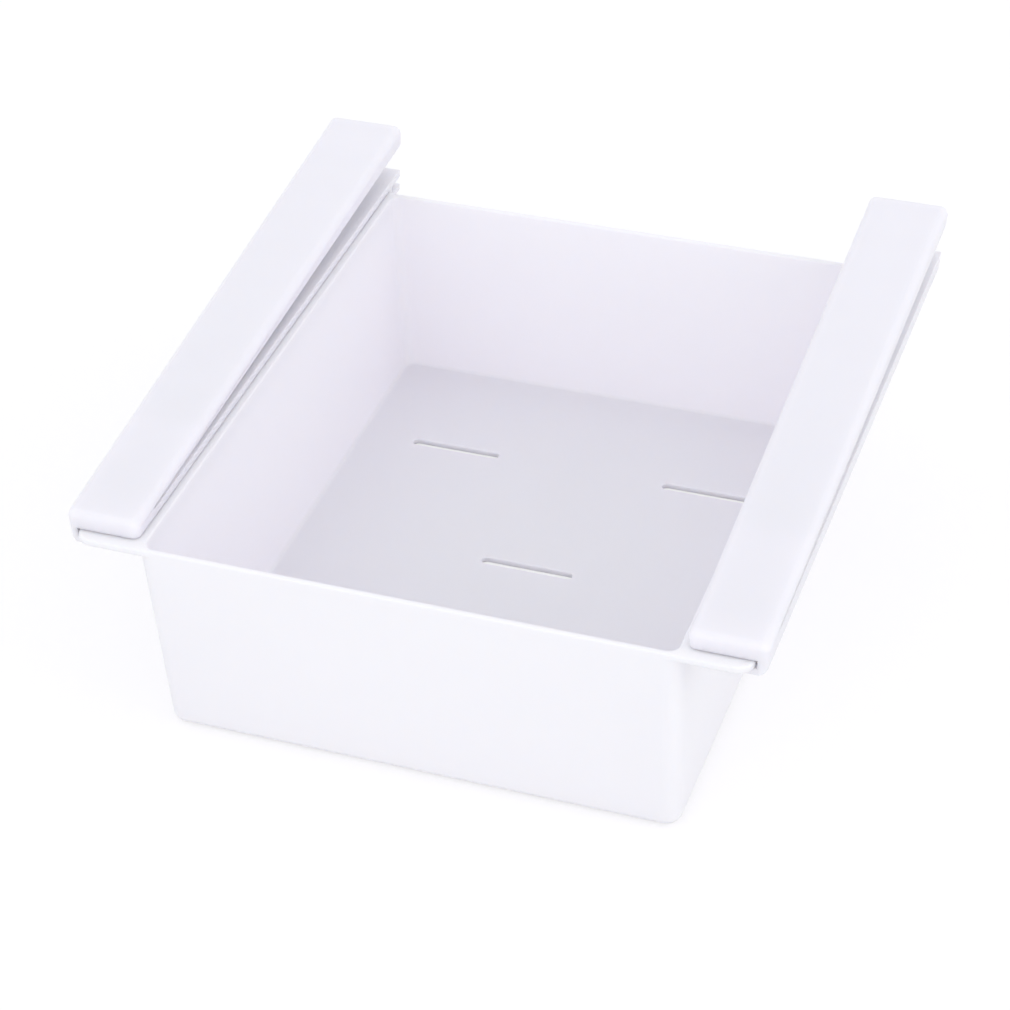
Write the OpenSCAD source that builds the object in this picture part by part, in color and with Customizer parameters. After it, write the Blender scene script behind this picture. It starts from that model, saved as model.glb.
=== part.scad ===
// Pull-out drawer that hangs under a refrigerator shelf.
// A tapered open bin carries a flange along each side of its rim. Each flange runs in
// the channel of a rail, and each rail is a spring clip whose arm grips the shelf plate.
// Millimetres. The origin is under the middle of the whole drawer, on the plane of the
// bin's underside: +X to the right, -Y towards the front, where the bin pulls out, and
// +Z up. The drawer is drawn closed.

/* [Bin] */
// Outer width of the bin at its rim
bin_w = 164; // [120:1:240]
// Outer depth of the bin at its rim, front to back
bin_d = 204; // [150:1:300]
// Height of the bin from its underside to its rim
bin_h = 68; // [45:1:120]
// Thickness of the bin's four walls
wall_t = 1.8; // [1.4:0.1:2.6]
// Thickness of the bin's floor
floor_t = 2; // [1.4:0.1:3.5]
// Distance that each side wall leans in from the rim to the underside
side_taper = 2; // [0.5:0.1:5]
// Distance that the front and the back wall lean in from the rim to the underside
end_taper = 2.9; // [0.5:0.1:6]
// Outer radius of the bin's upright corners
corner_r = 5; // [4:0.5:12]
// Radius round the bin's bottom edge
base_edge_r = 3; // [2.7:0.1:3.8]

/* [Flanges] */
// Distance that each flange stands out from the side wall
flange_reach = 19.6; // [14:0.2:26]
// Thickness of the flanges
flange_t = 2.2; // [1.6:0.1:3.2]
// Radius of the flanges' corners, seen from above
flange_corner_r = 5; // [1:0.5:8]
// Radius of the fillet between a flange and the side wall under it
flange_fillet_r = 0.5; // [0.2:0.1:0.5]

/* [Drain slots] */
// Length of a drain slot from end to end
drain_len = 30.5; // [15:0.5:40]
// Width of a drain slot
drain_w = 3; // [2:0.1:4]
// Distance of the outer slots from the middle of the floor, sideways
drain_x = 44; // [36:1:50]
// Distance of the outer slots from the middle of the floor, front to back
drain_y = 54; // [20:1:62]

/* [Rail channels] */
// Distance that the rails' front ends lie behind the front of the bin
rail_setback = 4; // [0:0.5:12]
// Gap between a closed bin's flange and the channel's end stop
stop_gap = 0.4; // [0.3:0.1:2]
// Thickness of the end stop that a closed bin's flange comes up against
stop_t = 2.5; // [1.6:0.1:6]
// Distance that a rail runs on behind its end stop
tail_len = 7.5; // [0:0.5:20]
// Running clearance above and below a flange in its channel
flange_play = 0.3; // [0.2:0.05:0.6]
// Running clearance between a flange's edge and the channel's web
edge_play = 0.5; // [0.3:0.1:1.5]
// Gap between the bin's side wall and the rail beside it
wall_play = 1; // [0.6:0.1:2]
// Thickness of the channel's bottom lip
lip_t = 2.5; // [1.8:0.1:3.5]
// Thickness of the channel's web, measured at the flange
web_t = 2.6; // [1.8:0.1:4]
// Thickness of the channel's roof, which the shelf plate rests on
roof_t = 2.7; // [1.8:0.1:4]
// Radius along the outer bottom edge of a rail
foot_r = 2.2; // [0.8:0.1:2.4]

/* [Clip arms] */
// Height of a rail's closed front end above the channel's roof
nose_h = 3.1; // [2.6:0.1:8]
// Length of the closed front end, from which the arm springs
nose_len = 12; // [8:0.5:30]
// Distance that the arm's top climbs from the front end to the back end
arm_rise = 14; // [9:0.5:20]
// Height of the clip's mouth at the arm's back end, between the roof's level and the arm
mouth_h = 10; // [6:0.5:11]
// Height of the slot between roof and arm where it starts, at the front
root_gap = 0.8; // [0.4:0.1:1.2]
// Angle in degrees at which both sides of a rail lean out as they rise
side_lean = 5; // [0:0.5:7]
// Radius along the arm's top edges and round the front end
edge_r = 2.6; // [1:0.1:3]
// Thickness of the hollow arm's top and skirts
arm_skin = 2.1; // [1.5:0.1:2.8]
// Thickness of the cross ribs under the arm
rib_t = 1.6; // [1:0.1:2.4]
// Largest spacing of the cross ribs
rib_pitch = 19; // [12:1:40]
// Distance from the closed front end to the first hollow under the arm
hollow_start = 34; // [20:1:60]

/* [Hidden] */
$fn = 48;

over = 1;        // how far a cut runs past the face that it opens
film = 0.01;     // thickness of the thin discs that a hull is drawn round
hull_fn = 32;    // facets of a full circle in a hull
arc_step = 15;   // degrees between the rings of a rounded edge

// Levels, from the bottom up
rim_z = bin_h;
flange_z = rim_z - flange_t;
channel_floor_z = flange_z - flange_play;
channel_top_z = rim_z + flange_play;
rail_base_z = channel_floor_z - lip_t;
roof_z = channel_top_z + roof_t;
front_top_z = roof_z + nose_h;
back_top_z = front_top_z + arm_rise;

// Places along the travel, with half of what lies behind the bin on each side of Y = 0
bin_y = -(stop_gap + stop_t + tail_len) / 2;
bin_front_y = bin_y - bin_d / 2;
bin_back_y = bin_y + bin_d / 2;
rail_front_y = bin_front_y + rail_setback;
stop_y = bin_back_y + stop_gap;
stop_back_y = stop_y + stop_t;
rail_back_y = stop_back_y + tail_len;
root_y = rail_front_y + nose_len;
hollow_y = root_y + hollow_start;
hollow_end_y = rail_back_y - arm_skin;

// Places across the right-hand rail
flange_edge_x = bin_w / 2 + flange_reach;
web_x = flange_edge_x + edge_play;
inner_base_x = bin_w / 2 + wall_play;
outer_base_x = web_x + web_t;

// Outer size of the bin at height z
function bin_w_at(z) = bin_w - 2 * side_taper * (1 - z / bin_h);
function bin_d_at(z) = bin_d - 2 * end_taper * (1 - z / bin_h);

// Inner and outer side of the right-hand rail at height z
function inner_x(z) = inner_base_x - (z - rail_base_z) * tan(side_lean);
function outer_x(z) = outer_base_x + (z - rail_base_z) * tan(side_lean);

// A tapered box with round corners and a round bottom edge, which lies "inset" inside
// the bin's outer faces and runs from z0 up to z1
module tub(z0, z1, inset) {
    r = corner_r - inset;
    edge = base_edge_r - inset;
    hull()
        for (sx = [-1, 1], sy = [-1, 1]) {
            for (a = [0:arc_step:90]) {
                z = z0 + edge * (1 - cos(a));
                translate([sx * (bin_w_at(z) / 2 - corner_r), sy * (bin_d_at(z) / 2 - corner_r), z])
                    cylinder(h = film, r = r - edge * (1 - sin(a)));
            }
            translate([sx * (bin_w_at(z1) / 2 - corner_r), sy * (bin_d_at(z1) / 2 - corner_r), z1 - film])
                cylinder(h = film, r = r);
        }
}

// Plan of both flanges with the rim between them
module flange_plan() {
    r = flange_corner_r;
    for (sx = [-1, 1]) {
        for (sy = [-1, 1])
            translate([sx * (flange_edge_x - r), sy * (bin_d / 2 - r)]) circle(r);
        translate([sx * (flange_edge_x - r / 2), 0]) square([r, bin_d - 2 * r], center = true);
    }
    square([2 * (flange_edge_x - r), bin_d], center = true);
}

// One drain slot through the floor, with round ends
module drain_slot() {
    h = floor_t + 2 * over;
    reach = (drain_len - drain_w) / 2;
    translate([-reach, -drain_w / 2, -over]) cube([2 * reach, drain_w, h]);
    for (sx = [-1, 1])
        translate([sx * reach, 0, -over]) cylinder(h = h, d = drain_w);
}

// The fillet under the right-hand flange, along the side wall
module flange_fillet() {
    side = bin_w / 2;
    length = bin_d - 2 * corner_r;
    translate([side - wall_t / 2, length / 2, flange_z])
        rotate([90, 0, 0])
            linear_extrude(height = length)
                difference() {
                    translate([0, -flange_fillet_r])
                        square([wall_t / 2 + flange_fillet_r, flange_fillet_r + flange_t / 2]);
                    translate([wall_t / 2 + flange_fillet_r, -flange_fillet_r])
                        circle(flange_fillet_r);
                }
}

module bin() {
    color("white")
        translate([0, bin_y, 0])
            difference() {
                union() {
                    tub(0, rim_z, 0);
                    translate([0, 0, flange_z])
                        linear_extrude(height = flange_t) flange_plan();
                    flange_fillet();
                    mirror([1, 0, 0]) flange_fillet();
                }
                tub(floor_t, rim_z + over, wall_t);
                drain_slot();
                for (sx = [-1, 1], sy = [-1, 1])
                    translate([sx * drain_x, sy * drain_y, 0]) drain_slot();
            }
}

// The right-hand rail's outer form, or the form that lies "inset" inside it: low and
// rounded in front, climbing to a tall, square-cut back end
module rail_form(inset) {
    top_r = edge_r - min(inset, edge_r - 0.4);
    bottom_r = foot_r - min(inset, foot_r - 0.4);
    front_y = rail_front_y + inset;
    back_y = rail_back_y - inset;
    base_z = rail_base_z + inset;
    front_z = front_top_z - inset;
    back_z = back_top_z - inset;
    hull() {
        // front end: balls at the top corners, upright rounds below them
        for (x = [inner_x(front_z) + inset + top_r, outer_x(front_z) - inset - top_r])
            translate([x, front_y + top_r, front_z - top_r]) sphere(top_r, $fn = hull_fn);
        translate([inner_base_x + inset + bottom_r, front_y + bottom_r, base_z])
            cylinder(h = film, r = bottom_r, $fn = hull_fn);
        translate([outer_base_x - inset - bottom_r, front_y + bottom_r, base_z + bottom_r])
            sphere(bottom_r, $fn = hull_fn);
        // back end: the same corners, cut square
        for (x = [inner_x(back_z) + inset + top_r, outer_x(back_z) - inset - top_r])
            translate([x, back_y, back_z - top_r])
                rotate([90, 0, 0]) cylinder(h = film, r = top_r, $fn = hull_fn);
        translate([inner_base_x + inset, back_y - film, base_z]) cube(film);
        translate([outer_base_x - inset - bottom_r, back_y, base_z + bottom_r])
            rotate([90, 0, 0]) cylinder(h = film, r = bottom_r, $fn = hull_fn);
    }
}

// A profile in the Y-Z plane, drawn out sideways past both sides of the rail
module across_rail() {
    x0 = inner_x(back_top_z) - over;
    translate([x0, 0, 0])
        rotate([90, 0, 90])
            linear_extrude(height = outer_x(back_top_z) + over - x0) children();
}

// The wedge between the channel's roof and the arm, with a round root
module shelf_slot() {
    slope = (mouth_h - root_gap) / (rail_back_y - root_y);
    across_rail() {
        polygon([
            [root_y, roof_z],
            [rail_back_y + over, roof_z],
            [rail_back_y + over, roof_z + mouth_h + slope * over],
            [root_y, roof_z + root_gap],
        ]);
        translate([root_y, roof_z + root_gap / 2]) circle(d = root_gap);
    }
}

// One stretch of the channel, open towards the bin
module channel_run(start_y, end_y) {
    translate([inner_base_x - over - wall_play, start_y, channel_floor_z])
        cube([web_x - inner_base_x + over + wall_play, end_y - start_y,
              channel_top_z - channel_floor_z]);
}

// The channel that the flange runs in, open at both ends, with the end stop left across it
module flange_channel() {
    channel_run(rail_front_y - over, stop_y);
    if (tail_len > 0)
        channel_run(stop_back_y, rail_back_y + over);
}

// The hollows under the arm, between its cross ribs
module arm_hollows() {
    span = hollow_end_y - hollow_y;
    bays = ceil(span / rib_pitch);
    pitch = span / bays;
    height = back_top_z - roof_z;
    intersection() {
        rail_form(arm_skin);
        for (i = [0:bays - 1])
            translate([inner_x(back_top_z), hollow_y + i * pitch + rib_t / 2, roof_z + film])
                cube([outer_x(back_top_z) - inner_x(back_top_z), pitch - rib_t, height]);
    }
}

module rail() {
    difference() {
        rail_form(0);
        flange_channel();
        shelf_slot();
        arm_hollows();
    }
}

module right_rail() {
    color("white") rail();
}

module left_rail() {
    color("white") mirror([1, 0, 0]) rail();
}

bin();
left_rail();
right_rail();
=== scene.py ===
"""A white fridge drawer: one open bin that slides in two clip-on shelf rails.

The file is laid out as an add-on: sizes and colours are properties, the bin, the pair of rails
and the studio each have an operator, and a panel in the sidebar lists them. Run as a script, it
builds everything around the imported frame. Lengths are metres, in the frame's own axes.
"""

import math

import bmesh
import bpy
from bpy.props import FloatProperty, FloatVectorProperty, PointerProperty
from mathutils import Matrix, Vector


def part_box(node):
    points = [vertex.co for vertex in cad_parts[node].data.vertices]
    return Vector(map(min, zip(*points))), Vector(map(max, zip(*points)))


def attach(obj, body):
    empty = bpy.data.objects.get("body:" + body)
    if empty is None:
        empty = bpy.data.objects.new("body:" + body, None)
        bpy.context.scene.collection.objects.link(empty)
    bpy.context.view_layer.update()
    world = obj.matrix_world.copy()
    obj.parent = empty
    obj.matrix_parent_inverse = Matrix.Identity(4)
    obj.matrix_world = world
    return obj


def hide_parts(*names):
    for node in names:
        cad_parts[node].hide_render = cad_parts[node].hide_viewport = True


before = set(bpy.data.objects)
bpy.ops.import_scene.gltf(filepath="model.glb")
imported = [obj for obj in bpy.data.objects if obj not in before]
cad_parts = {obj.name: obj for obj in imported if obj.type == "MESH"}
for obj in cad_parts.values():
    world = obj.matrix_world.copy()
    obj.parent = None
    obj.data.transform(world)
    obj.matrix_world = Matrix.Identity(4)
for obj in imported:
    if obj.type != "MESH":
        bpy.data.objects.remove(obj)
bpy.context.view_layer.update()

bl_info = {
    "name": "Fridge drawer mouldings",
    "version": (1, 0, 0),
    "blender": (4, 5, 0),
    "location": "View3D > Sidebar > Drawer",
    "description": "Builds the bin and the two clip-on rails of an under-shelf fridge drawer",
    "category": "Object",
}

MM = 0.001
BIN_LOW, BIN_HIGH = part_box("bin")
RAIL_LOW, RAIL_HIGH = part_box("right_rail")
BODY_OF_PIECE = {
    "bin_moulding": "drawer",
    "left_rail_moulding": "rails",
    "right_rail_moulding": "rails",
}

# Facets of the rounds
CORNER_STEPS = 8          # a quarter round in the bin's plan
EDGE_STEPS = 5            # a quarter round along an edge
LEDGE_STEPS = 2           # the flange's lower edge, which matches the corner's first facets
DRAIN_STEPS = 3           # the quarter round of a drain slot's edge
ROOT_STEPS = 8            # the half round at the shelf slot's root
BREAK_STEPS = 2           # an edge that is only broken

# How the meshes are cut and joined
MERGE = 0.002 * MM        # vertices closer than this are one
FLATTEST = math.radians(0.5)         # faces that turn less than this are joined
SHARPEST_SMOOTH = math.radians(50)   # edges that turn more than this are sharp
CUT_PAST = 1.0 * MM       # how far a cutter runs past the face that it opens
FLARE_PROUD = 0.003 * MM  # how far outside the bin's floor a drain's flare starts
HOLLOW_LIFT = 0.02 * MM   # how far above the channel's roof the arm's hollow starts
LEAST_ROUND = 0.15 * MM   # smallest radius that a rail's section keeps when it is inset
NOSE_CROWN = 0.2 * MM     # radius of the section's top edges at the very front of the nose

# The polypropylene's patterns and depth
CLOUD = 45 * MM           # clouds of colour, where the melt was drawn out
HANDLING = 18 * MM        # patches of sheen, which drifts with handling
PEEL = 0.9 * MM           # grain of the mould's face, drawn a little coarse so that it shows
PEEL_DEPTH = 0.012 * MM
MARK_SPACING = 0.35 * MM  # fine marks along the travel
MARK_LENGTH = 60 * MM
MARK_DEPTH = 0.01 * MM
BIN_MARKS = 0.15          # strength of those marks on the bin, of 1
RAIL_MARKS = 0.3          # and on the rails
LIGHT_REACH = 3.0 * MM    # how far light wanders inside the plastic

# The studio
AIM = Vector((-2.1, -16.5, 35.1)) * MM   # the point that the camera and the lamps look at
SENSOR = 36.0             # width of the camera's sensor in millimetres
LAMP_SIZE = 1.2           # side of a lamp's soft box
LAMP_DISTANCE = 1.4       # from a lamp to the point that it looks at
LAMP_ANGLES = {"front": (0, 15), "right": (90, 20), "left": (-90, 50)}   # turn, height: degrees
FLOOR_HALF = 2.0          # half of the floor's side
FLOOR_DROP = 0.2 * MM     # how far the floor lies below the bin
# To the camera the floor is this shade of lit paper with this glow added. In full light the two
# pass 1 together, which is plain white, and where the object keeps light off they stay below it.
FLOOR_SHADE = 0.46
FLOOR_GLOW = 0.58
WHITE = (1.0, 1.0, 1.0, 1.0)


# ---------------------------------------------------------------- properties


def srgb(code):
    """Linear colour of an sRGB hex value such as f2f2f7."""
    channels = [int(code[i : i + 2], 16) / 255 for i in (0, 2, 4)]
    return tuple(c / 12.92 if c <= 0.04045 else ((c + 0.055) / 1.055) ** 2.4 for c in channels)


def length(name, description, millimetres):
    """A length property whose default is given in millimetres."""
    return FloatProperty(name=name, description=description, default=millimetres * MM, min=0.0,
                         precision=5, unit="LENGTH", subtype="DISTANCE")


def angle(name, description, degrees):
    """An angle property whose default is given in degrees."""
    return FloatProperty(name=name, description=description, default=math.radians(degrees),
                         subtype="ANGLE", unit="ROTATION")


def watts(name, description, power):
    """A lamp's power as a property."""
    return FloatProperty(name=name, description=description, default=power, min=0.0, unit="POWER")


def tint(name, description, code):
    """A colour property whose default is an sRGB hex value."""
    return FloatVectorProperty(name=name, description=description, default=srgb(code), size=3,
                               min=0.0, max=1.0, subtype="COLOR")


class BinSizes(bpy.types.PropertyGroup):
    """Sizes of the bin"""

    wall: length("Wall", "Thickness of the four walls", 1.8)
    floor: length("Floor", "Thickness of the floor", 2.0)
    side_taper: length("Side taper", "Lean of a side wall from rim to underside", 2.0)
    end_taper: length("End taper", "Lean of the front or back wall from rim to underside", 2.9)
    corner_radius: length("Corner radius", "Outer radius of the upright corners", 5.0)
    base_radius: length("Base radius", "Radius round the bottom edge", 3.0)
    rim_radius: length("Rim radius", "Radius along the rim's two edges", 0.55)
    flange_reach: length("Flange reach", "Distance that a flange stands out from its wall", 19.6)
    flange_thickness: length("Flange thickness", "Thickness of the flanges", 2.2)
    flange_radius: length("Flange corner", "Radius of a flange's corners from above", 5.0)
    drain_length: length("Drain length", "Length of a drain slot", 30.5)
    drain_width: length("Drain width", "Width of a drain slot", 3.0)
    drain_x: length("Drain spacing X", "Sideways distance of the outer slots from the middle", 44.0)
    drain_y: length("Drain spacing Y", "Lengthways distance of the outer slots from the middle",
                    54.0)
    drain_edge: length("Drain edge", "Radius round a drain slot's edges", 0.35)


class RailSizes(bpy.types.PropertyGroup):
    """Sizes of a rail"""

    web: length("Web", "Thickness of the channel's outer web at the lip", 2.6)
    lip: length("Lip", "Thickness of the channel's bottom lip", 2.5)
    channel_height: length("Channel height", "Height of the channel that a flange runs in", 2.8)
    roof: length("Roof", "Thickness of the channel's roof", 2.7)
    stop: length("End stop", "Thickness of the wall that the closed bin's flange comes up against",
                 2.5)
    tail: length("Tail", "Distance that a rail runs on behind its end stop", 7.5)
    nose_height: length("Nose height", "Height of the closed front end above the roof", 3.1)
    nose_length: length("Nose length", "Length of the closed front end", 12.0)
    root_gap: length("Slot root", "Height of the shelf slot where it starts", 0.8)
    mouth: length("Slot mouth", "Height of the shelf slot at the arm's back end", 10.0)
    edge_radius: length("Edge radius", "Radius along the arm's top edges and round the nose", 2.6)
    foot_radius: length("Foot radius", "Radius along the outer bottom edge", 2.2)
    break_radius: length("Broken edge", "Radius of every other edge", 0.2)
    skin: length("Arm skin", "Thickness of the hollow arm's top and skirts", 2.1)
    rib: length("Rib", "Thickness of a cross rib under the arm", 1.6)
    rib_pitch: length("Rib pitch", "Largest spacing of the cross ribs", 19.0)
    hollow_start: length("Hollow start", "Distance from the nose to the first hollow", 34.0)
    lean: angle("Side lean", "Angle at which the sides lean out as they rise", 5.0)


class PlasticLook(bpy.types.PropertyGroup):
    """Colours of the polypropylene: the bin's, and the rails' darker copy of the same plastic,
    whose extra darkness is painted shade
    """

    bin_colour: tint("Bin", "Colour of the bin's polypropylene", "fbf7fe")
    bin_shade: tint("Bin shade", "Colour of the bin's cloudier streaks", "f9f5fd")
    # painted shade: the rails get darker colours than the bin's same plastic, so that their open
    # tops come down to the bin's shaded inside
    rail_colour_with_painted_shade: tint("Rails", "Colour of the rails' polypropylene", "f2f1f5")
    rail_streaks_with_painted_shade: tint("Rail shade", "Colour of the rails' cloudier streaks", "f0eff3")


class StudioLook(bpy.types.PropertyGroup):
    """Light, floor and camera"""

    sky: FloatProperty(name="Sky", description="Strength of the even light all round",
                       default=0.92, min=0.0)
    sky_colour: tint("Sky colour", "Colour of the even light all round", "f9f9ff")
    paper: tint("Paper", "Colour of the floor in the light that it throws back", "e6e6e6")
    front: watts("Front", "Power of the low light in front", 3.4)
    right: watts("Right", "Power of the low light on the right", 3.1)
    left: watts("Left", "Power of the high light on the left", 0.8)
    azimuth: angle("Azimuth", "Camera's turn to the right of the front", 21.07)
    elevation: angle("Elevation", "Camera's height angle", 37.39)
    roll: angle("Roll", "Camera's turn about its own axis", -2.70)
    distance: length("Distance", "Camera's distance from the point that it looks at", 898.4)
    lens: FloatProperty(name="Lens", description="Focal length in millimetres on a 36 mm sensor",
                        default=103.4, min=1.0, unit="CAMERA")


# ---------------------------------------------------------------- mesh helpers


def quarter(steps):
    """Angles from 0 to 90 degrees in even steps."""
    return [math.pi / 2 * i / steps for i in range(steps + 1)]


def stitch(mesh, first, second):
    """Quads between two rows of vertices."""
    for a, b, c, d in zip(first, first[1:], second[1:], second):
        mesh.faces.new((a, b, c, d))


def add_row(mesh, points):
    """Vertices at the given points."""
    return [mesh.verts.new(p) for p in points]


def weld(mesh):
    """Joins the vertices that coincide and turns every face outwards."""
    bmesh.ops.remove_doubles(mesh, verts=mesh.verts, dist=MERGE)
    bmesh.ops.dissolve_degenerate(mesh, dist=MERGE, edges=mesh.edges)
    bmesh.ops.recalc_face_normals(mesh, faces=mesh.faces)


def loft(rows):
    """A closed skin through a series of closed rows."""
    skin = bmesh.new()
    rings = [add_row(skin, row) for row in rows]
    for first, second in zip(rings, rings[1:]):
        stitch(skin, first + first[:1], second + second[:1])
    skin.faces.new(rings[0])
    skin.faces.new(rings[-1])
    weld(skin)
    return skin


def make_object(name, mesh):
    """A new object at the origin, made of a bmesh that is freed here."""
    data = bpy.data.meshes.new(name)
    mesh.to_mesh(data)
    mesh.free()
    made = bpy.data.objects.new(name, data)
    bpy.context.scene.collection.objects.link(made)
    return made


def apply_modifiers(made):
    """Puts what the modifiers make into the object's own mesh, and removes them."""
    evaluated = made.evaluated_get(bpy.context.evaluated_depsgraph_get())
    data = bpy.data.meshes.new_from_object(evaluated)
    made.modifiers.clear()
    made.data = data


def break_edges(made, radius):
    """Rounds every edge that stands out, and leaves the inside corners as they are."""
    skin = bmesh.new()
    skin.from_mesh(made.data)
    bmesh.ops.dissolve_limit(skin, angle_limit=FLATTEST, verts=skin.verts, edges=skin.edges)
    weight = skin.edges.layers.float.new("bevel_weight_edge")
    for edge in skin.edges:
        edge[weight] = float(edge.calc_face_angle_signed() > SHARPEST_SMOOTH)
    skin.to_mesh(made.data)
    skin.free()
    rounding = made.modifiers.new("Broken edges", "BEVEL")
    rounding.limit_method = "WEIGHT"
    rounding.width = radius
    rounding.segments = BREAK_STEPS
    rounding.use_clamp_overlap = False
    apply_modifiers(made)


def finish_piece(made, name, plastic):
    """Names the piece, shades it evenly and gives it its one material."""
    made.name = made.data.name = name
    made.data.materials.clear()
    made.data.materials.append(plastic)
    for face in made.data.polygons:
        face.material_index = 0
    made.data.shade_smooth()
    made.data.set_sharp_from_angle(angle=SHARPEST_SMOOTH)
    shading = made.modifiers.new("Even shading", "WEIGHTED_NORMAL")
    shading.keep_sharp = True
    apply_modifiers(made)
    made.data.name = name
    return made


def remove(*objects):
    """Deletes helper objects."""
    for helper in objects:
        bpy.data.objects.remove(helper)


def add_node(tree, kind, inputs=None, **settings):
    """A new node with its settings, and its inputs set to values or linked to sockets."""
    node = tree.nodes.new(kind)
    for key, value in settings.items():
        setattr(node, key, value)
    for key, value in (inputs or {}).items():
        for one in value if isinstance(value, list) else [value]:
            if isinstance(one, bpy.types.NodeSocket):
                tree.links.new(one, node.inputs[key])
            else:
                node.inputs[key].default_value = one
    return node


def new_tree(name, inputs):
    """A geometry tree with named inputs: the tree, its inputs' sockets and its end node."""
    tree = bpy.data.node_groups.new(name, "GeometryNodeTree")
    tree.interface.new_socket("Geometry", in_out="OUTPUT", socket_type="NodeSocketGeometry")
    tree.interface.new_socket("Geometry", in_out="INPUT", socket_type="NodeSocketGeometry")
    for label, kind in inputs:
        tree.interface.new_socket(label, in_out="INPUT", socket_type="NodeSocket" + kind)
    return tree, tree.nodes.new("NodeGroupInput").outputs, tree.nodes.new("NodeGroupOutput")


def end_tree(tree, geometry, plastic, end):
    """Ends a geometry tree in plain geometry that carries its one material."""
    whole = add_node(tree, "GeometryNodeRealizeInstances", {"Geometry": geometry})
    dressed = add_node(tree, "GeometryNodeSetMaterial", {
        "Geometry": whole.outputs["Geometry"], "Material": plastic})
    tree.links.new(dressed.outputs["Geometry"], end.inputs["Geometry"])


def add_tree(made, tree, values):
    """A modifier that runs the tree on the object, with its inputs set by identifier."""
    modifier = made.modifiers.new(tree.name, "NODES")
    modifier.node_group = tree
    for item in tree.interface.items_tree:
        if item.in_out == "INPUT" and item.name in values:
            modifier[item.identifier] = values[item.name]


# ---------------------------------------------------------------- the bin


class BinPlan:
    """Rows of points round the bin's front right quarter, measured from the bin's middle."""

    def __init__(self, sizes):
        self.sizes = sizes
        self.height = BIN_HIGH.z - BIN_LOW.z
        self.half_depth = (BIN_HIGH.y - BIN_LOW.y) / 2
        self.flange_edge = (BIN_HIGH.x - BIN_LOW.x) / 2
        self.half_width = self.flange_edge - sizes.flange_reach

    def centre(self, z):
        """Middle of the upright corner's round at height z."""
        down = 1 - z / self.height
        x = self.half_width - self.sizes.side_taper * down - self.sizes.corner_radius
        y = self.half_depth - self.sizes.end_taper * down - self.sizes.corner_radius
        return x, y

    def wall(self, z, radius):
        """Round the wall: from the middle of the front, round the corner, to the side's middle."""
        x, y = self.centre(z)
        row = [Vector((0, -y - radius, z))]
        row += [Vector((x + radius * math.sin(a), -y - radius * math.cos(a), z))
                for a in quarter(CORNER_STEPS)]
        return row + [Vector((x + radius, 0, z))]

    def flange(self, z, inset):
        """Round the flange: from its front corner to the middle of its side."""
        radius = self.sizes.flange_radius - inset
        x = self.flange_edge - self.sizes.flange_radius
        y = self.centre(z)[1] + self.sizes.corner_radius - self.sizes.flange_radius
        row = [Vector((x + radius * math.sin(a), -y - radius * math.cos(a), z))
               for a in quarter(CORNER_STEPS)]
        return row + [Vector((x + radius, 0, z))]

    def outline(self, z, inset):
        """Round the rim and the flange together."""
        front = self.wall(z, self.sizes.corner_radius - inset)[:2]
        return front + self.flange(z, inset)


def flange_edge_rows(plan):
    """Height and inset of the rows round the flange's lower edge, from its face to its underside.
    They lie where the wall's round corner comes out from under the flange's front edge."""
    radius = plan.sizes.corner_radius
    turns = quarter(CORNER_STEPS)[: LEDGE_STEPS + 1]
    insets = [radius * (1 - math.cos(a)) for a in turns]
    edge = insets[-1]
    under = plan.height - plan.sizes.flange_thickness
    heights = [under + edge - math.sqrt(edge**2 - (edge - i) ** 2) for i in insets]
    return list(zip(heights, insets))


def bin_quarter(plan):
    """The bin's front right quarter as one skin, open where it meets the other quarters."""
    sizes = plan.sizes
    skin = bmesh.new()
    outer_radius, inner_radius = sizes.corner_radius, sizes.corner_radius - sizes.wall
    outer_edge, inner_edge = sizes.base_radius, sizes.base_radius - sizes.wall
    rim = sizes.rim_radius

    # the outside of the wall, from the underside up to the flange
    rows = [add_row(skin, plan.wall(outer_edge * (1 - math.cos(a)),
                                    outer_radius - outer_edge * (1 - math.sin(a))))
            for a in quarter(EDGE_STEPS)]
    underside = rows[0] + [skin.verts.new((0, 0, 0))]
    ledge = flange_edge_rows(plan)
    heights = [ledge[0][0]] + [z for z, _ in ledge]
    heights += [ledge[-1][0]] * (len(rows[0]) - len(heights))
    wall_top = add_row(skin, [plan.wall(z, outer_radius)[i] for i, z in enumerate(heights)])
    rows.append(wall_top)

    # round the flange's lower edge
    ledge_rows = [[wall_top[k + 1]] + add_row(skin, plan.flange(z, inset))
                  for k, (z, inset) in enumerate(ledge)]
    for first, second in zip(ledge_rows, ledge_rows[1:]):
        stitch(skin, first, second)
    flange_under = wall_top[LEDGE_STEPS + 1 :] + ledge_rows[-1][:0:-1]

    # up the flange's face, over the rim's two edges and down the inside
    face = [wall_top[0]] + ledge_rows[0]
    over = [add_row(skin, plan.outline(plan.height - rim * (1 - math.sin(a)),
                                       rim * (1 - math.cos(a))))
            for a in quarter(EDGE_STEPS)]
    inside = [add_row(skin, plan.wall(plan.height - rim * (1 - math.cos(a)),
                                      inner_radius + rim * (1 - math.sin(a))))
              for a in quarter(EDGE_STEPS)]
    inside += [add_row(skin, plan.wall(sizes.floor + inner_edge * (1 - math.sin(a)),
                                       inner_radius - inner_edge * (1 - math.cos(a))))
               for a in quarter(EDGE_STEPS)]
    floor = inside[-1] + [skin.verts.new((0, 0, sizes.floor))]
    for strip in (rows, [face] + over, inside):
        for first, second in zip(strip, strip[1:]):
            stitch(skin, first, second)
    for flat in (underside, flange_under, over[-1] + inside[0][::-1], floor):
        skin.faces.new(flat)
    return skin


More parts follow.
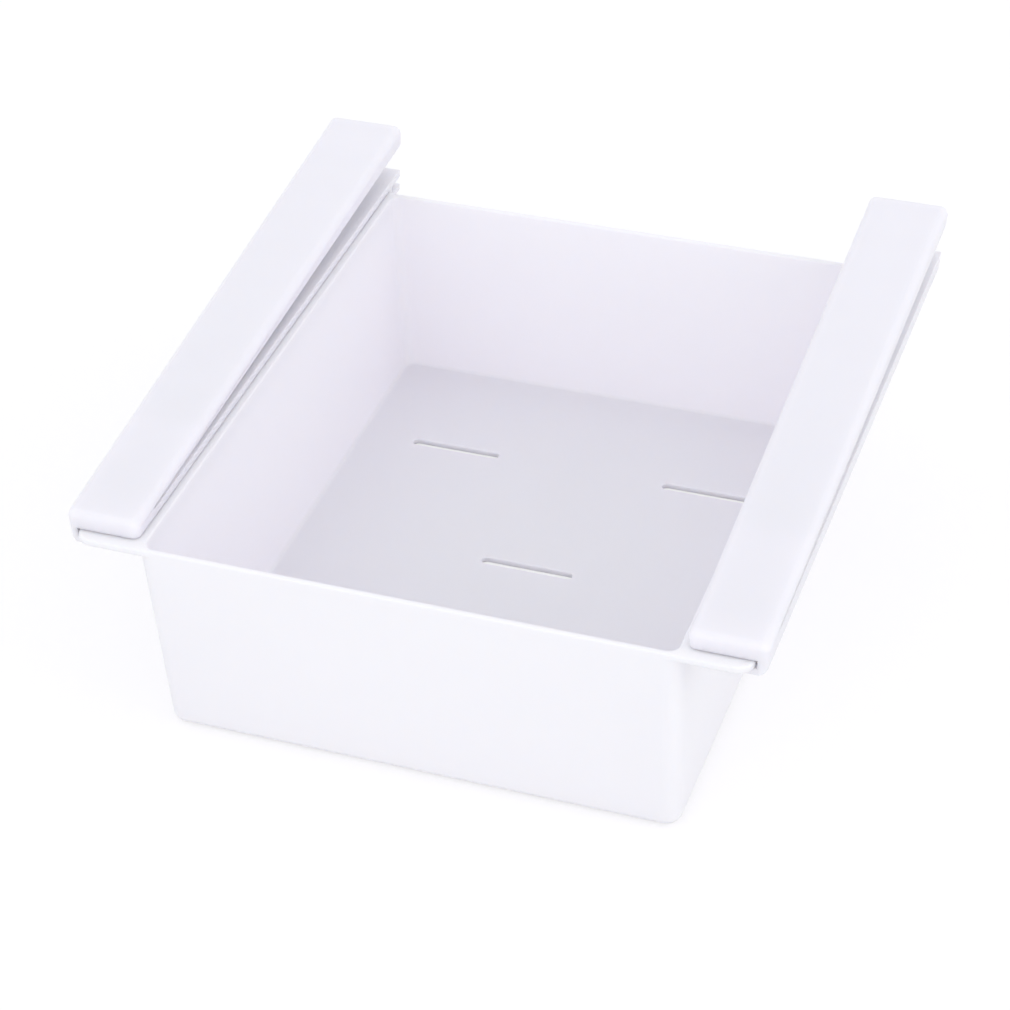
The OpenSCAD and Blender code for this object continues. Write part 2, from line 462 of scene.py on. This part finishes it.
def drain_cutter(sizes):
    """The shape of one drain slot, which flares where it leaves the floor on either side."""
    edge, half = sizes.drain_edge, sizes.drain_width / 2
    reach = sizes.drain_length / 2 - half
    down = [(-CUT_PAST, half + edge)]
    down += [(edge * (1 - math.cos(a)) - FLARE_PROUD, half + edge * (1 - math.sin(a)))
             for a in quarter(DRAIN_STEPS)]
    up = [(sizes.floor - z, r) for z, r in reversed(down)]
    rows = []
    for z, radius in down + up:
        ring = []
        for side in (1, -1):
            for i in range(2 * CORNER_STEPS + 1):
                turn = math.pi * i / (2 * CORNER_STEPS) - math.pi / 2
                x = side * (reach + radius * math.cos(turn))
                ring.append((x, side * radius * math.sin(turn), z))
        rows.append(ring)
    return make_object("drain_cutter", loft(rows))


def drain_tree():
    """Cuts one slot in the middle of the floor and four round it."""
    tree, given, end = new_tree("drain_slots", [
        ("Slot", "Object"), ("Spacing X", "Float"), ("Spacing Y", "Float"), ("Middle", "Vector"),
        ("Plastic", "Material")])
    outer = add_node(tree, "GeometryNodeMeshGrid", {
        "Size X": given["Spacing X"], "Size Y": given["Spacing Y"],
        "Vertices X": 2, "Vertices Y": 2})
    middle = add_node(tree, "GeometryNodeMeshLine", {"Count": 1})
    points = add_node(tree, "GeometryNodeJoinGeometry", {
        "Geometry": [outer.outputs["Mesh"], middle.outputs["Mesh"]]})
    placed = add_node(tree, "GeometryNodeTransform", {
        "Geometry": points.outputs["Geometry"], "Translation": given["Middle"]})
    slot = add_node(tree, "GeometryNodeObjectInfo", {"Object": given["Slot"]})
    copies = add_node(tree, "GeometryNodeInstanceOnPoints", {
        "Points": placed.outputs["Geometry"], "Instance": slot.outputs["Geometry"]})
    cutters = add_node(tree, "GeometryNodeRealizeInstances", {
        "Geometry": copies.outputs["Instances"]})
    cut = add_node(tree, "GeometryNodeMeshBoolean", {
        "Mesh 1": given["Geometry"], "Mesh 2": cutters.outputs["Geometry"]},
        operation="DIFFERENCE", solver="EXACT")
    end_tree(tree, cut.outputs["Mesh"], given["Plastic"], end)
    return tree


def build_bin(sizes, plastic):
    """The bin with its flanges and drain slots."""
    plan = BinPlan(sizes)
    skin = bin_quarter(plan)
    for axis in ("Y", "X"):
        whole = skin.verts[:] + skin.edges[:] + skin.faces[:]
        bmesh.ops.mirror(skin, geom=whole, matrix=Matrix.Identity(4), merge_dist=MERGE, axis=axis)
    weld(skin)
    middle = (BIN_LOW + BIN_HIGH) / 2
    bmesh.ops.translate(skin, verts=skin.verts, vec=(middle.x, middle.y, BIN_LOW.z))
    made = make_object("bin_body", skin)
    cutter = drain_cutter(sizes)
    add_tree(made, drain_tree(), {
        "Slot": cutter, "Spacing X": 2 * sizes.drain_x, "Spacing Y": 2 * sizes.drain_y,
        "Middle": (middle.x, middle.y, BIN_LOW.z), "Plastic": plastic})
    apply_modifiers(made)
    remove(cutter)
    return finish_piece(made, "bin_moulding", plastic)


# ---------------------------------------------------------------- the rails


class RailForm:
    """Places and levels of the right-hand rail, worked out from its box and its sizes."""

    def __init__(self, sizes):
        self.sizes = sizes
        self.front, self.back = RAIL_LOW.y, RAIL_HIGH.y
        self.base, self.top = RAIL_LOW.z, RAIL_HIGH.z
        self.slope_out = math.tan(sizes.lean)
        lean = (self.top - self.base) * self.slope_out
        self.inner_base, self.outer_base = RAIL_LOW.x + lean, RAIL_HIGH.x - lean
        self.channel_floor = self.base + sizes.lip
        self.channel_top = self.channel_floor + sizes.channel_height
        self.roof = self.channel_top + sizes.roof
        self.nose_top = self.roof + sizes.nose_height
        self.stop_back = self.back - sizes.tail
        self.root = self.front + sizes.nose_length

    def top_at(self, y):
        """Height of the arm's top at place y."""
        start = self.front + self.sizes.edge_radius
        climb = (self.top - self.nose_top) / (self.back - start)
        return self.nose_top + climb * max(0.0, y - start)

    def arm_underside(self, y):
        """Height of the arm's lower side at place y."""
        rise = (self.sizes.mouth - self.sizes.root_gap) / (self.back - self.root)
        return self.roof + self.sizes.root_gap + rise * (y - self.root)

    def section(self, y, inset, base, base_inset):
        """Closed row of points round the rail at place y, inset from its faces, with its bottom
        at base_inset above base. Its inner bottom corner stays sharp: it is broken with the
        cut edges."""
        sizes = self.sizes
        lean, across = sizes.lean, math.cos(sizes.lean)
        top = self.top_at(y) - inset
        low = base + base_inset
        crown = max(sizes.edge_radius - inset, LEAST_ROUND)
        foot = max(sizes.foot_radius - inset, LEAST_ROUND)
        # side, height and radius of each round corner, its first and last angle, and its facets
        corners = [
            (-1, top - crown, crown, math.pi + lean, math.pi / 2, 2 * EDGE_STEPS),
            (1, top - crown, crown, math.pi / 2, -lean, 2 * EDGE_STEPS),
            (1, low + foot, foot, -lean, -math.pi / 2, EDGE_STEPS),
        ]
        row = [(self.inner_base - (low - self.base) * self.slope_out + inset / across, y, low)]
        for side, z, radius, start, stop, steps in corners:
            rise = (z - self.base) * self.slope_out
            if side < 0:
                x = self.inner_base - rise + (inset + radius) / across
            else:
                x = self.outer_base + rise - (inset + radius) / across
            for i in range(steps + 1):
                turn = start + (stop - start) * i / steps
                row.append((x + radius * math.cos(turn), y, z + radius * math.sin(turn)))
        return row


def rail_body(form):
    """The rail without its cut-outs: a rounded nose that climbs to a square-cut back end."""
    round_nose = form.sizes.edge_radius - NOSE_CROWN
    base_round = 2 * form.sizes.break_radius
    rows = [form.section(form.front + round_nose * (1 - math.cos(a)),
                         round_nose * (1 - math.sin(a)),
                         form.base, base_round * (1 - math.sin(a)))
            for a in quarter(2 * EDGE_STEPS)]
    rows.append(form.section(form.back, 0, form.base, 0))
    return make_object("rail_body", loft(rows))


def arm_hollow(form, start, stop):
    """The space inside the arm, open below."""
    skin = form.sizes.skin
    rows = [form.section(y, skin, form.roof, HOLLOW_LIFT) for y in (start, stop)]
    return make_object("arm_hollow", loft(rows))


def shelf_slot(form):
    """The wedge that the shelf plate enters, with a half round at its root."""
    past = form.back + CUT_PAST
    radius = form.sizes.root_gap / 2
    middle = form.roof + radius
    profile = [(form.root, form.roof), (past, form.roof), (past, form.arm_underside(past)),
               (form.root, form.roof + form.sizes.root_gap)]
    turns = [math.pi * i / ROOT_STEPS for i in range(1, ROOT_STEPS)]
    profile += [(form.root - radius * math.sin(a), middle + radius * math.cos(a)) for a in turns]
    sides = (RAIL_LOW.x - CUT_PAST, RAIL_HIGH.x + CUT_PAST)
    return make_object("shelf_slot", loft([[(x, y, z) for y, z in profile] for x in sides]))


def channel_run(form, start, stop):
    """One stretch of the channel that the bin's flange runs in, open towards the bin."""
    web = form.outer_base - form.sizes.web
    inner = RAIL_LOW.x - CUT_PAST
    rows = [[(inner, start, z), (web, start, z), (web, stop, z), (inner, stop, z)]
            for z in (form.channel_floor, form.channel_top)]
    return make_object("channel_run", loft(rows))


def rail_tree():
    """Cuts the channel, the pocket behind its stop, the shelf slot and the arm's hollow, which
    evenly spaced cross ribs divide."""
    names = ("Channel", "Tail channel", "Shelf slot", "Hollow")
    tree, given, end = new_tree("rail_cut_outs", [
        *((name, "Object") for name in names),
        ("First rib", "Vector"), ("Rib pitch", "Vector"), ("Rib count", "Int"),
        ("Rib size", "Vector"), ("Plastic", "Material")])
    line = add_node(tree, "GeometryNodeMeshLine", {
        "Count": given["Rib count"], "Start Location": given["First rib"],
        "Offset": given["Rib pitch"]})
    rib = add_node(tree, "GeometryNodeMeshCube", {"Size": given["Rib size"]})
    copies = add_node(tree, "GeometryNodeInstanceOnPoints", {
        "Points": line.outputs["Mesh"], "Instance": rib.outputs["Mesh"]})
    ribs = add_node(tree, "GeometryNodeRealizeInstances", {
        "Geometry": copies.outputs["Instances"]})
    *openings, hollow = [
        add_node(tree, "GeometryNodeObjectInfo", {"Object": given[name]}).outputs["Geometry"]
        for name in names]
    bays = add_node(tree, "GeometryNodeMeshBoolean", {
        "Mesh 1": hollow, "Mesh 2": ribs.outputs["Geometry"]},
        operation="DIFFERENCE", solver="EXACT")
    kept = given["Geometry"]
    for cutter in (*openings, bays.outputs["Mesh"]):
        cut = add_node(tree, "GeometryNodeMeshBoolean", {"Mesh 1": kept, "Mesh 2": cutter},
                       operation="DIFFERENCE", solver="EXACT")
        kept = cut.outputs["Mesh"]
    end_tree(tree, kept, given["Plastic"], end)
    return tree


def build_right_rail(sizes, plastic):
    """The right-hand rail, with every cut edge broken by a small radius."""
    form = RailForm(sizes)
    first = form.root + sizes.hollow_start
    last = form.back - sizes.skin
    bays = math.ceil((last - first) / sizes.rib_pitch)
    pitch = (last - first) / bays
    body = rail_body(form)
    cutters = {
        "Channel": channel_run(form, form.front - CUT_PAST, form.stop_back - sizes.stop),
        "Tail channel": channel_run(form, form.stop_back, form.back + CUT_PAST),
        "Shelf slot": shelf_slot(form),
        "Hollow": arm_hollow(form, first + sizes.rib / 2, last - sizes.rib / 2),
    }
    middle_x = (RAIL_LOW.x + RAIL_HIGH.x) / 2
    add_tree(body, rail_tree(), {
        **cutters,
        "First rib": (middle_x, first + pitch, form.top), "Rib pitch": (0.0, pitch, 0.0),
        "Rib count": bays - 1,
        "Rib size": (RAIL_HIGH.x - RAIL_LOW.x, sizes.rib, 2 * (form.top - form.roof)),
        "Plastic": plastic})
    apply_modifiers(body)
    remove(*cutters.values())
    break_edges(body, sizes.break_radius)
    return finish_piece(body, "right_rail_moulding", plastic)


def build_left_rail(right, plastic):
    """The right-hand rail's mirror image, with its faces still outwards."""
    skin = bmesh.new()
    skin.from_mesh(right.data)
    bmesh.ops.scale(skin, vec=(-1, 1, 1), verts=skin.verts)
    bmesh.ops.reverse_faces(skin, faces=skin.faces)
    return finish_piece(make_object("rail_body", skin), "left_rail_moulding", plastic)


# ---------------------------------------------------------------- materials


def polypropylene(name, colour, shade, slide_marks):
    """Injection-moulded polypropylene: pale, a little cloudy, with a satin skin.
    The eye sees a soft broad sheen, a faint peel from the mould and cloudy colour, and light
    that enters a wall comes out a few millimetres on, which softens every shadow."""
    material = bpy.data.materials.new(name)
    material.use_nodes = True
    tree = material.node_tree
    tree.nodes.clear()
    place = add_node(tree, "ShaderNodeTexCoord").outputs["Object"]
    # colour drifts by a shade
    flow = add_node(tree, "ShaderNodeTexNoise", {
        "Vector": place, "Scale": 1 / CLOUD, "Detail": 2.0, "Roughness": 0.5})
    cloud = add_node(tree, "ShaderNodeMix", {
        "Factor": flow.outputs["Fac"], "A": (*colour, 1.0), "B": (*shade, 1.0)}, data_type="RGBA")
    # sheen drifts a little, and stays satin
    handling = add_node(tree, "ShaderNodeTexNoise", {
        "Vector": place, "Scale": 1 / HANDLING, "Detail": 3.0, "Roughness": 0.6})
    sheen = add_node(tree, "ShaderNodeMapRange", {
        "Value": handling.outputs["Fac"], "From Min": 0.3, "From Max": 0.7,
        "To Min": 0.36, "To Max": 0.48})
    # peel of the mould's spark-eroded face
    peel = add_node(tree, "ShaderNodeTexNoise", {
        "Vector": place, "Scale": 1 / PEEL, "Detail": 2.0, "Roughness": 0.5})
    peel_bump = add_node(tree, "ShaderNodeBump", {
        "Height": peel.outputs["Fac"], "Strength": 0.35, "Distance": PEEL_DEPTH})
    # fine marks, drawn out along Y, which is the way that the bin travels
    drawn_out = add_node(tree, "ShaderNodeMapping", {
        "Vector": place, "Scale": (1 / MARK_SPACING, 1 / MARK_LENGTH, 1 / MARK_SPACING)})
    marks = add_node(tree, "ShaderNodeTexNoise", {
        "Vector": drawn_out.outputs["Vector"], "Scale": 1.0, "Detail": 1.0, "Roughness": 0.4})
    bump = add_node(tree, "ShaderNodeBump", {
        "Height": marks.outputs["Fac"], "Strength": slide_marks, "Distance": MARK_DEPTH,
        "Normal": peel_bump.outputs["Normal"]})
    shader = add_node(tree, "ShaderNodeBsdfPrincipled", {
        "Base Color": cloud.outputs["Result"], "Roughness": sheen.outputs["Result"],
        "Normal": bump.outputs["Normal"], "IOR": 1.49, "Subsurface Weight": 1.0,
        "Subsurface Radius": (1.0, 0.95, 0.9), "Subsurface Scale": LIGHT_REACH})
    add_node(tree, "ShaderNodeOutputMaterial", {"Surface": shader.outputs["BSDF"]})
    return material


# ---------------------------------------------------------------- the studio


def seen_directly(tree):
    """1 for what the camera sees by itself, in a reflection or through something clear."""
    path = add_node(tree, "ShaderNodeLightPath").outputs
    either = add_node(tree, "ShaderNodeMath", {
        0: path["Is Camera Ray"], 1: path["Is Glossy Ray"]}, operation="MAXIMUM")
    return add_node(tree, "ShaderNodeMath", {
        0: either.outputs[0], 1: path["Is Transmission Ray"]}, operation="MAXIMUM").outputs[0]


def white_sky(look):
    """Even light all round, which the camera sees as plain white."""
    world = bpy.data.worlds.new("studio_sky")
    bpy.context.scene.world = world
    world.use_nodes = True
    tree = world.node_tree
    tree.nodes.clear()
    light = add_node(tree, "ShaderNodeBackground", {
        "Color": (*look.sky_colour, 1.0), "Strength": look.sky})
    white = add_node(tree, "ShaderNodeBackground", {"Color": WHITE, "Strength": 1.0})
    mix = add_node(tree, "ShaderNodeMixShader", {
        0: seen_directly(tree), 1: light.outputs[0], 2: white.outputs[0]})
    add_node(tree, "ShaderNodeOutputWorld", {"Surface": mix.outputs[0]})


def pale_floor(look):
    """A white paper floor that keeps the object's soft shadow."""
    material = bpy.data.materials.new("white_paper")
    material.use_nodes = True
    tree = material.node_tree
    tree.nodes.clear()
    paper = add_node(tree, "ShaderNodeBsdfDiffuse", {"Color": (*look.paper, 1.0)})
    shadow = add_node(tree, "ShaderNodeBsdfDiffuse", {
        "Color": (FLOOR_SHADE, FLOOR_SHADE, FLOOR_SHADE, 1.0)})
    glow = add_node(tree, "ShaderNodeEmission", {"Color": WHITE, "Strength": FLOOR_GLOW})
    lit = add_node(tree, "ShaderNodeAddShader", {0: shadow.outputs[0], 1: glow.outputs[0]})
    mix = add_node(tree, "ShaderNodeMixShader", {
        0: seen_directly(tree), 1: paper.outputs[0], 2: lit.outputs[0]})
    add_node(tree, "ShaderNodeOutputMaterial", {"Surface": mix.outputs[0]})
    skin = bmesh.new()
    skin.faces.new(add_row(skin, [(x * FLOOR_HALF, y * FLOOR_HALF, 0)
                                  for x, y in ((-1, -1), (1, -1), (1, 1), (-1, 1))]))
    bmesh.ops.translate(skin, verts=skin.verts, vec=(0, 0, BIN_LOW.z - FLOOR_DROP))
    floor = make_object("paper_floor", skin)
    floor.data.materials.append(material)


def direction(azimuth, elevation):
    """Unit vector from the middle towards a place at that turn and height angle."""
    flat = math.cos(elevation)
    return Vector((math.sin(azimuth) * flat, -math.cos(azimuth) * flat, math.sin(elevation)))


def soft_lamp(name, azimuth, elevation, power):
    """A large square area lamp that faces the object from a turn and height in degrees."""
    data = bpy.data.lights.new(name, "AREA")
    data.shape = "SQUARE"
    data.size = LAMP_SIZE
    data.energy = power
    lamp = bpy.data.objects.new(name, data)
    bpy.context.scene.collection.objects.link(lamp)
    way = direction(math.radians(azimuth), math.radians(elevation))
    turn = way.to_track_quat("Z", "Y").to_matrix().to_4x4()
    lamp.matrix_world = Matrix.Translation(AIM + LAMP_DISTANCE * way) @ turn


def camera(look):
    """A camera at the photograph's viewing angle."""
    back = direction(look.azimuth, look.elevation)
    right = Vector((0, 0, 1)).cross(back).normalized()
    up = back.cross(right)
    turned_right = math.cos(look.roll) * right + math.sin(look.roll) * up
    turned_up = back.cross(turned_right)
    data = bpy.data.cameras.new("photo_camera")
    data.lens = look.lens
    data.sensor_width = SENSOR
    made = bpy.data.objects.new("photo_camera", data)
    bpy.context.scene.collection.objects.link(made)
    turn = Matrix((turned_right, turned_up, back)).transposed().to_4x4()
    made.matrix_world = Matrix.Translation(AIM + look.distance * back) @ turn
    bpy.context.scene.camera = made


# ---------------------------------------------------------------- operators and panel


def dress(piece, node):
    """Lets a piece stand for its frame node, on the same body."""
    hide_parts(node)
    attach(piece, BODY_OF_PIECE[piece.name])


class DRAWER_OT_bin(bpy.types.Operator):
    """Build the open bin with its flanges and drain slots"""

    bl_idname = "drawer.bin"
    bl_label = "Bin"

    def execute(self, context):
        look = context.scene.drawer_plastic
        plastic = polypropylene("bin_polypropylene", look.bin_colour, look.bin_shade, BIN_MARKS)
        made = build_bin(context.scene.drawer_bin, plastic)
        dress(made, "bin")
        return {"FINISHED"}


class DRAWER_OT_rails(bpy.types.Operator):
    """Build the two rails that clip over the shelf plate"""

    bl_idname = "drawer.rails"
    bl_label = "Rails"

    def execute(self, context):
        look = context.scene.drawer_plastic
        # the rails' colours carry painted shade: they are the bin's plastic made darker
        plastic = polypropylene("rail_polypropylene", look.rail_colour_with_painted_shade, look.rail_streaks_with_painted_shade,
                                RAIL_MARKS)
        right = build_right_rail(context.scene.drawer_rail, plastic)
        left = build_left_rail(right, plastic)
        dress(right, "right_rail")
        dress(left, "left_rail")
        return {"FINISHED"}


class DRAWER_OT_studio(bpy.types.Operator):
    """Set up the floor, the lights and the camera"""

    bl_idname = "drawer.studio"
    bl_label = "Studio"

    def execute(self, context):
        look = context.scene.drawer_studio
        pale_floor(look)
        white_sky(look)
        for side, (azimuth, elevation) in LAMP_ANGLES.items():
            soft_lamp(side + "_light", azimuth, elevation, getattr(look, side))
        camera(look)
        context.scene.view_settings.view_transform = "Standard"
        return {"FINISHED"}


class DRAWER_PT_panel(bpy.types.Panel):
    """Sizes, colours and operators of the drawer"""

    bl_idname = "DRAWER_PT_panel"
    bl_label = "Fridge drawer"
    bl_space_type = "VIEW_3D"
    bl_region_type = "UI"
    bl_category = "Drawer"

    def draw(self, context):
        for heading, group, operator in PANEL_ROWS:
            box = self.layout.box()
            box.label(text=heading)
            settings = getattr(context.scene, group)
            for name in settings.bl_rna.properties.keys():
                if name not in ("rna_type", "name"):
                    box.prop(settings, name)
            if operator:
                box.operator(operator)


GROUPS = {
    "drawer_bin": BinSizes,
    "drawer_rail": RailSizes,
    "drawer_plastic": PlasticLook,
    "drawer_studio": StudioLook,
}
PANEL_ROWS = [
    ("Bin", "drawer_bin", "drawer.bin"),
    ("Rails", "drawer_rail", "drawer.rails"),
    ("Plastic", "drawer_plastic", None),
    ("Studio", "drawer_studio", "drawer.studio"),
]
CLASSES = (*GROUPS.values(), DRAWER_OT_bin, DRAWER_OT_rails, DRAWER_OT_studio, DRAWER_PT_panel)


def register():
    for made in CLASSES:
        bpy.utils.register_class(made)
    for name, group in GROUPS.items():
        setattr(bpy.types.Scene, name, PointerProperty(type=group))


def unregister():
    for name in GROUPS:
        delattr(bpy.types.Scene, name)
    for made in reversed(CLASSES):
        bpy.utils.unregister_class(made)


def main():
    register()
    bpy.ops.drawer.bin()
    bpy.ops.drawer.rails()
    bpy.ops.drawer.studio()


if __name__ == "__main__":
    main()
